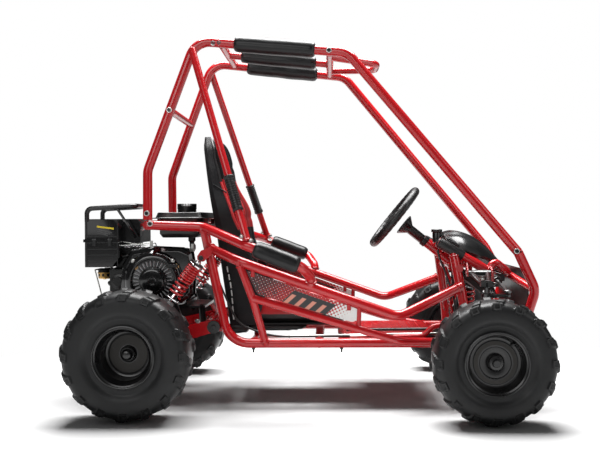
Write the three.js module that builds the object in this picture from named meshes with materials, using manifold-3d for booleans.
// Off road go kart with a tubular cage, a rear swing arm and double front arms.
// Millimetres. X points forward from the rear axle, Y to the driver's left, Z up from the ground.
import * as THREE from 'three';
import { mergeVertices } from 'three/addons/utils/BufferGeometryUtils.js';
import Module from 'manifold-3d';

const wasm = await Module();
wasm.setup();

// Driving sizes
const wheelbase = 1000;
const rearTrack = 800;
const frontTrack = 902;
const gap = 0.3;
const overrun = 2;
const mainTube = 14;
const slimTube = 11;
const rodTube = 7;
const tubeBend = 60;
const smallBend = 30;
const plate = 4;
const tubeSides = 6;
const roundSides = 8;
const boreSides = 12;
const bendSteps = 2;
const facetTolerance = 0.05;

const tyres = {
  rear: { radius: 184, width: 145 },
  front: { radius: 171, width: 125 },
};
const rim = {
  lipRadius: 87, lipWidth: 7, barrelRadius: 76, wellRadius: 68, hubRadius: 24, wall: 4, sides: 14,
};
const tread = { pitches: 16, height: 9, blockShare: 0.44, rampShare: 0.07, skewShare: 0.3, bulge: 2 };

// Cage and side frame, each place on the driver's left and mirrored for the right
const hoop = {
  footX: 20, footHalf: 215, footZ: 556,
  kneeZ: 703, kneeHalf: 210,
  shoulderX: 165, shoulderHalf: 199, shoulderZ: 1090,
  browBehind: 383, browHalf: 235, browZ: 1044,
  toeAhead: 104, toeHalf: 273, toeZ: 456,
};
const arm = {
  startZ: 541, startHalf: 220,
  bendX: 190, bendHalf: 231, bendZ: 534,
  wideX: 330, wideHalf: 400, wideZ: 484,
  padX: 484, padHalf: 400, padZ: 424,
  endX: 508, endHalf: 346, endZ: 392,
};
const rail = {
  startX: 203, startZ: 474,
  wideX: 304, wideHalf: 350, wideZ: 438,
  lowBehind: 244, lowHalf: 321, lowZ: 276,
  pillarBehind: 54, pillarHalf: 238, pillarZ: 356,
};
const sill = { startX: 342, startZ: 334, endBehind: 244, endZ: 208, frontBehind: 105, };
const floor = { z: 190, half: 230, rearX: 262, frontBehind: 95, bend: 75 };
const post = { footX: 372, footHalf: 238 };
const pillar = { footBehind: 40, topBehind: 72, topHalf: 204, topZ: 452, bendZ: 300, bendBehind: 47 };
const dash = {
  rearBehind: 118, rearZ: 486, half: 204, frontAhead: 30, frontZ: 399,
  humpAhead: 48, humpZ: 430, dipAhead: 96, dipHalf: 175, dipZ: 392, barBehind: 100,
};
const nose = {
  skidAhead: 62, skidHalf: 222, kickAhead: 122, kickHalf: 240, kickZ: 228,
  bowAhead: 158, bowHalf: 254, bowZ: 345,
};
const crossbar = { rearShare: 0.168, frontShare: 0.887, legShare: 0.465 };
const visor = { half: 132, tipAhead: 146, tipHalf: 58, drop: 10 };
const brace = { topX: 157, topZ: 1062, footX: 338, gripStartShare: 0.66, gripEndShare: 0.83 };

// Front suspension and steering
const frontArm = {
  lowerHalf: 150, lowerZ: 160, upperHalf: 230, upperZ: 394, span: 66,
  eyeRadius: 9, pinRadius: 5, tubeRadius: 7.5,
};
const kingpin = { half: 345, lowZ: 148, topZ: 371, radius: 7, eyeRadius: 10, drift: 2.4 };
const sleeve = { radius: 14, lowAbove: 18, topZ: 342 };
const spindle = { radius: 9, flangeRadius: 11.5, armAhead: 58, armHalf: 350, armThick: 8 };
const rack = { ahead: 60, z: 366, tubeRadius: 17, half: 125, rodRadius: 7, bootHalf: 182, endHalf: 196 };
const tieRod = { radius: 5, eyeRadius: 11, seatRadius: 2.5, height: 12, lift: 0.6 };
const frontShock = { ahead: 38, topHalf: 205, topZ: 360, footHalf: 272, coils: 5, coilRadius: 19, wire: 3.2, eyeRadius: 8 };

// Steering column, square to the wheel
const column = { hubBehind: 203, hubZ: 538, slope: 39, shaftRadius: 9, tubeRadius: 15, tubeStart: 78, tubeLength: 108 };
const wheel = { radius: 118, gripRadius: 13, dish: 36, hubRadius: 34, spokeWidth: 20, spokes: 3, boss: 52 };

// Rear suspension and axle
const swing = {
  pivotX: 218, pivotZ: 239, pivotRadius: 13, pinRadius: 7, beamHalf: 185, beamWidth: 30, beamHeight: 38,
  tailX: 52, plateZ: 282, plateHalf: 112, plateFrontX: 175, plateTailX: -120, strutRadius: 10,
};
const axle = {
  radius: 12.5, bearingHalf: 185, bearingRadius: 28, sprocketHalf: 230, sprocketRadius: 58, sprocketThick: 6,
  discHalf: 230, discRadius: 72, discThick: 4, hubRadius: 30, hubLength: 40,
};
const rearShock = {
  half: 255, topX: 186, topZ: 444, footX: 88, footZ: 313, eyeRadius: 10, eyeWidth: 16, eyeBore: 6, studRadius: 4.8, earMargin: 1,
  seatRadius: 22, rodRadius: 5, bodyRadius: 10, neckRadius: 6, bodyShare: 0.6, coilRadius: 18.5, wire: 3.4,
  tightCurls: 6, openCurls: 4, curlGap: 1, stroke: 14,
};

// Engine, tank and chain
const crank = { x: 25, z: 372, radius: 10 };
const engine = {
  rearX: -70, frontX: 112, baseZ: 292, topZ: 428, nearY: -118, farY: 96, finCount: 6,
  headLift: 76, headTilt: 62, headLength: 116, headWidth: 104, headHeight: 104,
};
const carb = { x: -150, y: -56, bowlZ: 372, portZ: 395, radius: 12 };
const shroud = {
  radius: 92, depth: 56, slotCount: 20, slotInner: 42, slotOuter: 64, slotWidth: 5, slotLean: 24,
  capRadius: 36, capDepth: 10, faceRadius: 70,
};
const airBox = { rearX: -190, frontX: -84, baseZ: 412, topZ: 560, nearY: -140, farY: 70, sideX: -28, sideBaseZ: 486 };
const guard = { topZ: 592, rearX: -184, frontX: -34, half: 96, centreY: -40, stayX: -90 };
const chain = { thick: 9, width: 7, driveRadius: 22, links: 44 };
const tank = {
  x: 104, z: 560, length: 168, half: 168, lowerLength: 124, lowerHalf: 160, lowerDepth: 58, upperHeight: 16,
  seam: 3, corner: 20, capRadius: 30, capHeight: 22, neckRadius: 22, neckHeight: 12,
};

// Seat, panels and controls
const seat = {
  backX: 254, backZ: 236, leanShare: 0.14, topZ: 815, half: 178, wall: 5, padDepth: 46,
  baseFrontX: 604, baseZ: 236, basePadHeight: 74,
};
const pan = { startX: 586, thick: 3, ribs: 9, ribHeight: 2, ribShare: 0.86, seatShare: 0.8 };
const sidePanel = { inset: 3, thick: 3 };
const pedal = { behind: 58, z: 408, apart: 92, length: 122, width: 62, height: 66, radius: 17 };
const hood = {
  half: 150, wall: 3, startBehind: 80, length: 172, baseZ: 398, height: 120,
  rowShares: [
    { along: 0, top: 0.95, low: 0.65, half: 0.7 },
    { along: 0.209302, top: 1, low: 0.533333, half: 1 },
    { along: 0.488372, top: 0.875, low: 0.4, half: 1 },
    { along: 0.744186, top: 0.6, low: 0.283333, half: 0.86 },
    { along: 1, top: 0.216667, low: 0, half: 0.6 },
  ],
};
const reservoir = { y: -60, radius: 17, height: 46, bodyShare: 0.8 };
const pads = {
  wall: 7, crown: 2.5, gripShare: 0.9, gathers: 2, gripRibs: 6, sides: 8,
  startShare: 0.26, endShare: 0.79, armStartShare: 0.26, armEndShare: 0.86,
};

const paint = (colour, roughness, metalness) => new THREE.MeshStandardMaterial({
  color: new THREE.Color(...colour), roughness, metalness,
});
const materials = {
  red: paint([0.62, 0.03, 0.035], 0.28, 0.1),
  black: paint([0.03, 0.03, 0.032], 0.4, 0.1),
  plastic: paint([0.035, 0.035, 0.037], 0.5, 0),
  rubber: paint([0.045, 0.045, 0.047], 0.85, 0),
  fabric: paint([0.04, 0.04, 0.045], 0.95, 0),
  steel: paint([0.55, 0.55, 0.56], 0.35, 0.9),
  chrome: paint([0.8, 0.8, 0.82], 0.15, 1),
  panel: paint([0.7, 0.1, 0.1], 0.35, 0),
};

const kart = new THREE.Group();
const right = -1;
const left = 1;
const sides = [[right, 'right'], [left, 'left']];
const at = (x, y, z) => new THREE.Vector3(x, y, z);
const front = (ahead) => wheelbase + ahead;
const along = (start, end, share) => start.clone().lerp(end, share);

// A closed geometry becomes a solid: vertices are welded, empty triangles dropped and faces turned out.
function solidOf(geometry) {
  const bare = geometry.clone();
  bare.deleteAttribute('normal');
  bare.deleteAttribute('uv');
  const welded = mergeVertices(bare);
  const points = welded.attributes.position.array;
  const corner = (index) => new THREE.Vector3().fromArray(points, index * 3);
  const triangles = [];
  let volume = 0;
  for (let i = 0; i < welded.index.count; i += 3) {
    const [a, b, c] = [welded.index.getX(i), welded.index.getX(i + 1), welded.index.getX(i + 2)];
    if (a !== b && b !== c && c !== a) {
      triangles.push([a, b, c]);
      volume += corner(a).dot(corner(b).cross(corner(c)));
    }
  }
  const turned = volume < 0 ? triangles.map(([a, b, c]) => [a, c, b]) : triangles;
  return new wasm.Manifold(new wasm.Mesh({
    numProp: 3, vertProperties: new Float32Array(points), triVerts: new Uint32Array(turned.flat()),
  }));
}

// The radius of a polygonal bore that clears a round shaft at any turn.
const bored = (radius, count = tubeSides) => (radius + gap) / Math.cos(Math.PI / count);

const join = (...solids) => solids.flat().reduce((sum, solid) => sum.add(solid));
const cut = (solid, ...tools) => tools.flat().reduce((rest, tool) => rest.subtract(tool), solid);

// Adds a solid to the kart as a named mesh.
function addMesh(name, solid, material) {
  const result = solid.simplify(facetTolerance).getMesh();
  const geometry = new THREE.BufferGeometry();
  geometry.setAttribute('position', new THREE.BufferAttribute(new Float32Array(result.vertProperties), 3));
  geometry.setIndex(new THREE.BufferAttribute(new Uint32Array(result.triVerts), 1));
  geometry.computeVertexNormals();
  const mesh = new THREE.Mesh(geometry, material);
  mesh.name = name;
  kart.add(mesh);
}

// A path that is sampled only at its own stations, so straight runs stay one step long.
class StationCurve extends THREE.Curve {
  constructor(stations) {
    super();
    this.stations = stations;
  }

  station(share) {
    return this.stations[Math.round(share * (this.stations.length - 1))];
  }

  getPointAt(share) {
    return this.station(share).point.clone();
  }

  getTangentAt(share) {
    return this.station(share).tangent.clone();
  }
}

// Stations along a run of straights joined by round bends.
function bendPath(points, bend) {
  const count = points.length;
  const direction = (i) => points[i + 1].clone().sub(points[i]).normalize();
  const stations = [{ point: points[0].clone(), tangent: direction(0) }];
  for (let i = 1; i < count - 1; i += 1) {
    const before = direction(i - 1);
    const after = direction(i);
    const angle = before.angleTo(after);
    const room = Math.min(points[i].distanceTo(points[i - 1]), points[i].distanceTo(points[i + 1])) / 2;
    const reach = Math.min(bend * Math.tan(angle / 2), room);
    const axis = before.clone().cross(after).normalize();
    const start = points[i].clone().addScaledVector(before, -reach);
    const radius = reach / Math.tan(angle / 2);
    const centre = start.clone().addScaledVector(axis.clone().cross(before), radius);
    const steps = Math.max(1, Math.ceil(bendSteps * angle));
    for (let step = 0; step <= steps; step += 1) {
      const turn = angle * step / steps;
      stations.push({
        point: start.clone().sub(centre).applyAxisAngle(axis, turn).add(centre),
        tangent: before.clone().applyAxisAngle(axis, turn),
      });
    }
  }
  stations.push({ point: points[count - 1].clone(), tangent: direction(count - 2) });
  return new StationCurve(stations);
}

function polygon(radius, count) {
  const corners = [];
  for (let i = 0; i < count; i += 1) {
    const turn = 2 * Math.PI * (i + 0.5) / count;
    corners.push(new THREE.Vector2(radius * Math.cos(turn), radius * Math.sin(turn)));
  }
  return new THREE.Shape(corners);
}

function pathSolid(path, radius, count = tubeSides) {
  return solidOf(new THREE.ExtrudeGeometry(polygon(radius, count), {
    steps: path.stations.length - 1, extrudePath: path, bevelEnabled: false,
  }));
}

const tube = (points, radius, bend = tubeBend, count = tubeSides) => pathSolid(bendPath(points, bend), radius, count);

// Turns geometry that stands along +Y to stand along a direction from a base point.
function aim(geometry, base, direction) {
  const turn = new THREE.Quaternion().setFromUnitVectors(at(0, 1, 0), direction.clone().normalize());
  return geometry.applyQuaternion(turn).translate(base.x, base.y, base.z);
}

// A revolved piece from [radius, height] pairs; with closed true the profile is a ring round the axis.
function turned(profile, base, direction, count = tubeSides, closed = false) {
  const points = profile.map(([radius, height]) => new THREE.Vector2(radius, height));
  const loop = closed
    ? [...points, points[0]]
    : [new THREE.Vector2(0, points[0].y), ...points, new THREE.Vector2(0, points[points.length - 1].y)];
  return solidOf(aim(new THREE.LatheGeometry(loop, count), base, direction));
}

const rod = (start, end, radius, count = tubeSides) =>
  turned([[radius, 0], [radius, start.distanceTo(end)]], start, end.clone().sub(start), count);

function block(low, high) {
  const size = high.clone().sub(low);
  const centre = low.clone().add(high).multiplyScalar(0.5);
  return solidOf(new THREE.BoxGeometry(size.x, size.y, size.z).translate(centre.x, centre.y, centre.z));
}

// A plate cut to an outline in the X-Z plane, from one Y to another.
function sheet(outline, lowY, highY, holes = []) {
  const shape = new THREE.Shape(outline.map(([x, z]) => new THREE.Vector2(x, z)));
  shape.holes = holes;
  const geometry = new THREE.ExtrudeGeometry(shape, { depth: highY - lowY, bevelEnabled: false });
  return solidOf(geometry.rotateX(Math.PI / 2).translate(0, highY, 0));
}

function hole(x, z, radius, count = tubeSides) {
  const corners = polygon(radius, count).getPoints().map((corner) => new THREE.Vector2(corner.x + x, corner.y + z));
  return new THREE.Path(corners);
}

// Joins rings of equal count into one closed body; each ring is a loop of points with flat outline pairs for its cap.
function loft(rings, outlines) {
  const count = rings[0].length;
  const positions = rings.flat().flatMap((point) => point.toArray());
  const index = [];
  for (let ring = 0; ring < rings.length - 1; ring += 1) {
    for (let i = 0; i < count; i += 1) {
      const next = (i + 1) % count;
      const [a, b, c, d] = [ring * count + i, ring * count + next, (ring + 1) * count + next, (ring + 1) * count + i];
      index.push(a, b, c, a, c, d);
    }
  }
  const area = (a, b, c) => (b.x - a.x) * (c.y - a.y) - (b.y - a.y) * (c.x - a.x);
  const cap = (ring, outline, reverse) => THREE.ShapeUtils.triangulateShape(outline, []).flatMap(([a, b, c]) => {
    const positive = area(outline[a], outline[b], outline[c]) > 0;
    const along = positive !== THREE.ShapeUtils.isClockWise(outline);
    return (along !== reverse ? [a, b, c] : [a, c, b]).map((i) => ring * count + i);
  });
  index.push(...cap(0, outlines[0], true), ...cap(rings.length - 1, outlines[1], false));
  const geometry = new THREE.BufferGeometry();
  geometry.setAttribute('position', new THREE.Float32BufferAttribute(positions, 3));
  geometry.setIndex(index);
  return solidOf(geometry);
}

// Frame tubes. Each takes the side and how far to grow its tubes, so neighbours can be cut to clear them.
function hoopPoints(side) {
  return {
    foot: at(hoop.footX, side * hoop.footHalf, hoop.footZ),
    knee: at(hoop.footX, side * hoop.kneeHalf, hoop.kneeZ),
    shoulder: at(hoop.shoulderX, side * hoop.shoulderHalf, hoop.shoulderZ),
    brow: at(front(-hoop.browBehind), side * hoop.browHalf, hoop.browZ),
    toe: at(front(hoop.toeAhead), side * hoop.toeHalf, hoop.toeZ),
  };
}

function hoopTube(side, grow) {
  const { foot, knee, shoulder, brow, toe } = hoopPoints(side);
  return tube([foot, knee, shoulder, brow, toe], mainTube + grow);
}

function armPoints(side) {
  return [
    at(hoop.footX, side * arm.startHalf, arm.startZ),
    at(arm.bendX, side * arm.bendHalf, arm.bendZ),
    at(arm.wideX, side * arm.wideHalf, arm.wideZ),
    at(arm.padX, side * arm.padHalf, arm.padZ),
    at(arm.endX, side * arm.endHalf, arm.endZ),
    railPoint(side, arm.endX),
  ];
}

// The point of the side rail's straight run at one distance forward.
function railPoint(side, x) {
  const lowX = front(-rail.lowBehind);
  const share = (x - rail.wideX) / (lowX - rail.wideX);
  return along(at(rail.wideX, side * rail.wideHalf, rail.wideZ), at(lowX, side * rail.lowHalf, rail.lowZ), share);
}

function sillStart(side) {
  return at(sill.startX, railPoint(side, sill.startX).y, sill.startZ);
}

const postTop = (side) => at(rail.wideX, side * rail.wideHalf, rail.wideZ);

// One welded side: arm tube, rear upright running into the floor rail, side rail, sill, side post and pivot lug.
function sideFrame(side, grow) {
  const upright = [
    at(arm.bendX, side * arm.bendHalf, arm.bendZ),
    at(floor.rearX, side * floor.half, floor.z),
    at(front(-floor.frontBehind), side * floor.half, floor.z),
  ];
  const railRun = [
    at(rail.startX, side * floor.half, rail.startZ),
    postTop(side),
    at(front(-rail.lowBehind), side * rail.lowHalf, rail.lowZ),
    at(front(-rail.pillarBehind), side * rail.pillarHalf, rail.pillarZ),
  ];
  const sillRun = [
    sillStart(side),
    at(front(-sill.endBehind), side * rail.lowHalf, sill.endZ),
    at(front(-sill.frontBehind), side * floor.half, floor.z),
  ];
  const postRun = [postTop(side), sillStart(side), at(post.footX, side * post.footHalf, floor.z)];
  return join(
    tube(armPoints(side), mainTube + grow, smallBend),
    tube(upright, mainTube + grow, floor.bend),
    tube(railRun, mainTube + grow),
    tube(sillRun, slimTube + grow),
    tube(postRun, slimTube + grow, smallBend),
    pivotLug(side, grow),
  );
}

// The lug that stands back from the upright and holds the swing arm's pin.
function pivotLug(side, grow) {
  const inner = side * (floor.half - mainTube - plate / 2);
  const outer = inner + side * (plate + grow);
  const reach = swing.pinRadius + plate * 2;
  const uprightX = (z) => THREE.MathUtils.mapLinear(z, arm.bendZ, floor.z, arm.bendX, floor.rearX);
  const outline = [
    [swing.pivotX - reach, swing.pivotZ - reach / 2],
    [swing.pivotX, swing.pivotZ - reach],
    [uprightX(swing.pivotZ - reach), swing.pivotZ - reach],
    [uprightX(swing.pivotZ + reach * 2), swing.pivotZ + reach * 2],
    [swing.pivotX - reach, swing.pivotZ + reach / 2],
  ];
  return sheet(outline, Math.min(inner, outer), Math.max(inner, outer));
}

// Stub pins through the lugs, on which the swing arm turns.
const swingPins = () => sides.map(([side]) => rod(
  at(swing.pivotX, side * (floor.half - mainTube * 3), swing.pivotZ),
  at(swing.pivotX, side * (floor.half - mainTube + plate * 2), swing.pivotZ), swing.pinRadius));

// Two ears for a shock eye that turns on Y, with a stub of plate back to the upright.
function shockEars(side) {
  const near = side * (rearShock.half - rearShock.eyeWidth / 2 - gap);
  const far = side * (rearShock.half + rearShock.eyeWidth / 2 + gap);
  const uprightX = arm.bendX + mainTube;
  const reach = rearShock.eyeRadius + rearShock.earMargin;
  const outline = [
    [rearShock.topX - reach, rearShock.topZ - reach / 2],
    [rearShock.topX + reach / 2, rearShock.topZ - reach],
    [uprightX + mainTube, rearShock.topZ + reach],
    [uprightX + mainTube, rearShock.topZ + reach * 3],
    [rearShock.topX, rearShock.topZ + reach * 2],
    [rearShock.topX - reach, rearShock.topZ + reach / 2],
  ];
  const ear = (start, end) => sheet(outline, Math.min(start, end), Math.max(start, end));
  const bridgeLow = Math.min(side * (floor.half - mainTube / 2), far + side * plate);
  const bridgeHigh = Math.max(side * (floor.half - mainTube / 2), far + side * plate);
  const bridge = block(
    at(uprightX - plate, bridgeLow, rearShock.topZ + reach),
    at(uprightX + mainTube, bridgeHigh, rearShock.topZ + reach * 2),
  );
  const pin = rod(
    at(rearShock.topX, near - side * plate, rearShock.topZ),
    at(rearShock.topX, far + side * plate * 2, rearShock.topZ),
    rearShock.eyeBore - gap,
  );
  return join(ear(near, near - side * plate), ear(far, far + side * plate), bridge, pin);
}

// The welded main frame: both sides, the bars that carry the tank, the seat bars and the foot floor.
function addMainFrame() {
  const frame = join(
    sideFrame(right, 0), sideFrame(left, 0), shockEars(right), shockEars(left), swingPins(), crossMembers(), floorPan(),
  );
  const room = [frontTubes(right, gap), frontTubes(left, gap)];
  addMesh('main_frame', cut(frame, room), materials.red);
}

function crossMembers() {
  const tubeAcross = (x, half, z, radius) => rod(at(x, -half, z), at(x, half, z), radius);
  const tankFront = tank.x + tank.length / 2 - slimTube;
  const seatBars = [floor.rearX + floor.bend, seat.baseFrontX - floor.bend];
  const seatBar = (x) => block(
    at(x - slimTube, -seat.half / 2, floor.z), at(x + slimTube, seat.half / 2, seat.baseZ - gap));
  const tankRest = (x, z, side) => block(
    at(x - slimTube / 2, side * tank.half / 2 - slimTube, z), at(x + slimTube / 2, side * tank.half / 2 + slimTube, tank.z - gap));
  return join(
    sides.flatMap(([side]) => [tankRest(hoop.footX + slimTube / 2, arm.startZ, side), tankRest(tankFront, arm.bendZ, side)]),
    tubeAcross(hoop.footX, arm.startHalf, arm.startZ, mainTube),
    tubeAcross(tankFront, arm.bendHalf, arm.bendZ, slimTube),
    seatBars.map((x) => tubeAcross(x, floor.half, floor.z, mainTube)),
    seatBars.map(seatBar),
  );
}

// Foot floor: a pressed plate with raised ribs, welded on the floor rails.
function floorPan() {
  const top = floor.z + mainTube * pan.seatShare;
  const endX = front(-sill.frontBehind) - mainTube;
  const ribPitch = (endX - pan.startX) / (pan.ribs + 1);
  const base = block(at(pan.startX, -floor.half, top), at(endX, floor.half, top + pan.thick));
  const ribs = [];
  for (let rib = 1; rib <= pan.ribs; rib += 1) {
    const x = pan.startX + rib * ribPitch;
    ribs.push(block(
      at(x - pan.thick, -floor.half * pan.ribShare, top + pan.thick / 2),
      at(x + pan.thick, floor.half * pan.ribShare, top + pan.thick + pan.ribHeight)));
  }
  return join(base, ribs);
}

// A hoop bolts down at both ends, so it stops short of the tubes that carry it. The right one holds the leg crossbar.
function addHoops() {
  sides.forEach(([side, word]) => {
    const hoopSolid = side === right ? join(hoopTube(side, 0), legCrossbar()) : hoopTube(side, 0);
    addMesh(`${word}_hoop`, cut(hoopSolid, sideFrame(side, gap)), materials.red);
  });
}

const legPoint = (side) => along(hoopPoints(side).knee, hoopPoints(side).shoulder, crossbar.legShare);
const roofPoint = (side, share) => along(hoopPoints(side).shoulder, hoopPoints(side).brow, share);
const roofMiddle = (share) => along(roofPoint(right, share), roofPoint(left, share), 0.5);

function visorRun() {
  const base = roofMiddle(crossbar.frontShare);
  const tipX = base.x + visor.tipAhead;
  const tipZ = base.z - visor.drop;
  return [
    at(base.x, -visor.half, base.z), at(tipX, -visor.tipHalf, tipZ),
    at(tipX, visor.tipHalf, tipZ), at(base.x, visor.half, base.z),
  ];
}

const legCrossbar = () => cut(rod(legPoint(right), legPoint(left), slimTube), hoopTube(left, gap));

// The roof frame with its visor loop, bolted between the hoops.
function addRoofFrame() {
  const bar = (share) => rod(roofPoint(right, share), roofPoint(left, share), slimTube);
  const roof = join(
    bar(crossbar.rearShare), bar(crossbar.frontShare),
    rod(roofMiddle(crossbar.rearShare), roofMiddle(crossbar.frontShare), slimTube),
    tube(visorRun(), slimTube, smallBend),
  );
  addMesh('roof_frame', cut(roof, hoopTube(right, gap), hoopTube(left, gap)), materials.red);
}

function braceEnds(side) {
  const topHalf = hoop.shoulderHalf + mainTube + slimTube + gap;
  const armTop = along(armPoints(side)[2], armPoints(side)[3], (brace.footX - arm.wideX) / (arm.padX - arm.wideX));
  return [at(brace.topX, side * topHalf, brace.topZ), armTop];
}

// Braces carry ribbed rubber grips where a rider holds on.
function addBraces() {
  sides.forEach(([side, word]) => {
    const [top, foot] = braceEnds(side);
    const stay = cut(rod(top, foot, slimTube), sideFrame(side, gap), hoopTube(side, gap));
    const grip = sleeveRound(
      along(top, foot, brace.gripStartShare), along(top, foot, brace.gripEndShare), slimTube * pads.gripShare,
      pads.wall / 2, pads.crown, pads.gripRibs, tubeSides);
    addMesh(`${word}_brace`, join(stay, grip), materials.red);
  });
}

// A sleeve with drawn-in ends round a tube, swelling between its gathers.
function sleeveRound(start, end, bore, wall, crown, gathers, count = pads.sides) {
  const length = start.distanceTo(end);
  const lip = wall / 2;
  const outer = [];
  for (let gather = 0; gather <= gathers; gather += 1) {
    const swell = gather % 2 === 0 ? 0 : crown;
    outer.push([bore + wall + swell, lip + (length - 2 * lip) * gather / gathers]);
  }
  const profile = [[bore, 0], [bore + lip, 0], ...outer, [bore + lip, length], [bore, length]];
  return turned(profile, start, end.clone().sub(start), count, true);
}

function addPads() {
  const roofPad = (name, start, end, radius) => addMesh(
    name, sleeveRound(start, end, bored(radius, pads.sides), pads.wall, pads.crown, pads.gathers), materials.fabric);
  sides.forEach(([side, word]) => {
    roofPad(`${word}_roof_pad`, roofPoint(side, pads.startShare), roofPoint(side, pads.endShare), mainTube);
    const [, , wide, pad] = armPoints(side);
    roofPad(`${word}_arm_pad`, along(wide, pad, pads.armStartShare), along(wide, pad, pads.armEndShare), mainTube);
  });
  roofPad('middle_roof_pad', roofMiddle(pads.startShare), roofMiddle(pads.endShare), slimTube);
}

// Front frame: pillars, dash tubes with their hump, nose tubes, lower cross tubes, arm tabs and column tube.
const columnAxis = () => {
  const slope = THREE.MathUtils.degToRad(column.slope);
  return at(Math.cos(slope), 0, -Math.sin(slope));
};
const columnPoint = (reach) => at(front(-column.hubBehind), 0, column.hubZ).addScaledVector(columnAxis(), reach);

function noseRun(side) {
  return [
    at(front(-floor.frontBehind) + gap, side * floor.half, floor.z),
    at(front(nose.skidAhead), side * nose.skidHalf, floor.z),
    at(front(nose.kickAhead), side * nose.kickHalf, nose.kickZ),
    at(front(nose.bowAhead), side * nose.bowHalf, nose.bowZ),
    hoopPoints(side).toe.addScaledVector(
      hoopPoints(side).toe.sub(hoopPoints(side).brow).normalize(), gap),
  ];
}

function pillarRun(side) {
  return [
    at(front(-pillar.footBehind), side * (floor.half - 4 * gap), floor.z),
    at(front(-pillar.bendBehind), side * rail.pillarHalf, pillar.bendZ),
    at(front(-pillar.topBehind), side * pillar.topHalf, dashZ(-pillar.topBehind)),
  ];
}

const dashZ = (ahead) => THREE.MathUtils.mapLinear(
  ahead, -dash.rearBehind, dash.frontAhead, dash.rearZ, dash.frontZ);

function frontTubes(side, grow) {
  const dashRun = [
    at(front(-dash.rearBehind), side * dash.half, dash.rearZ),
    at(front(dash.frontAhead), side * dash.half, dash.frontZ),
  ];
  const humpRun = [
    at(front(dash.frontAhead), side * dash.half, dash.frontZ),
    at(front(dash.humpAhead), side * dash.half, dash.humpZ),
    at(front(dash.dipAhead), side * dash.dipHalf, dash.dipZ),
    at(front(dash.dipAhead), 0, dash.dipZ),
  ];
  return join(
    tube(pillarRun(side), mainTube + grow, smallBend),
    rod(dashRun[0], dashRun[1], mainTube + grow),
    tube(humpRun, slimTube + grow, smallBend),
    tube(noseRun(side), mainTube + grow, tubeBend),
    rod(at(front(dash.dipAhead), side * dash.dipHalf / 2, dash.dipZ), noseRun(side)[3], slimTube + grow),
  );
}

// Two tabs and the pin between them, on which one arm turns. The tabs reach inward to the tube above them.
function armPivot(side, half, z, inward, rearTop, frontTop) {
  const reach = frontArm.span / 2 + plate / 2 + gap;
  const outer = side * frontArm.eyeRadius;
  const inner = -side * Math.max(inward, frontArm.eyeRadius);
  const tab = (ahead, top) => sheet([
    [outer, z - frontArm.eyeRadius], [outer, z + frontArm.eyeRadius], [inner, top], [inner, z],
    [-outer, z - frontArm.eyeRadius],
  ], -plate / 2, plate / 2).rotate([0, 0, 90]).translate([front(ahead), side * half, 0]);
  const pin = rod(
    at(front(-reach - plate), side * half, z), at(front(reach + plate), side * half, z), frontArm.pinRadius);
  return join(tab(-reach, rearTop), tab(reach, frontTop), pin);
}

function addFrontFrame() {
  const reach = frontArm.span / 2 + plate;
  const upper = sides.map(([side]) => armPivot(
    side, frontArm.upperHalf, frontArm.upperZ, frontArm.upperHalf - dash.half, dashZ(-reach), dash.humpZ - slimTube));
  const lower = sides.map(([side]) => armPivot(side, frontArm.lowerHalf, frontArm.lowerZ, 0, floor.z, floor.z));
  const across = (ahead, half, z, radius) => rod(at(front(ahead), -half, z), at(front(ahead), half, z), radius);
  const columnTube = rod(columnPoint(column.tubeStart), columnPoint(column.tubeStart + column.tubeLength),
    column.tubeRadius);
  const shockTops = sides.map(([side]) => block(
    at(front(frontShock.ahead - plate * 2), side * frontShock.topHalf - plate * 2, frontShock.topZ + frontShock.eyeRadius + gap),
    at(front(frontShock.ahead + plate * 2), side * frontShock.topHalf + plate * 2, dash.frontZ),
  ));
  const frame = join(
    frontTubes(right, 0), frontTubes(left, 0), upper, lower, shockTops,
    across(-reach - slimTube / 2, nose.skidHalf, floor.z, slimTube),
    across(reach + slimTube / 2, nose.skidHalf, floor.z, slimTube),
    across(-dash.barBehind, dash.half, dashZ(-dash.barBehind), slimTube),
    across(nose.kickAhead, nose.kickHalf, nose.kickZ, mainTube),
    across(-pedal.behind, rail.pillarHalf - mainTube / 2, pedal.z, slimTube),
    columnTube,
  );
  const bore = rod(columnPoint(0), columnPoint(column.tubeStart + column.tubeLength * 2), bored(column.shaftRadius));
  addMesh('front_frame', cut(join(frame, reservoirSolid()), bore, hoopTube(right, gap), hoopTube(left, gap)),
    materials.red);
}

// Brake fluid reservoir with its wider cap, on the dash crossbar.
function reservoirSolid() {
  const base = at(front(-dash.barBehind - plate), reservoir.y, dashZ(-dash.barBehind));
  return turned([
    [reservoir.radius * reservoir.bodyShare, 0], [reservoir.radius * reservoir.bodyShare, reservoir.height * 0.8],
    [reservoir.radius, reservoir.height * 0.8], [reservoir.radius, reservoir.height],
  ], base, at(0, 0, 1), 12);
}

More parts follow.
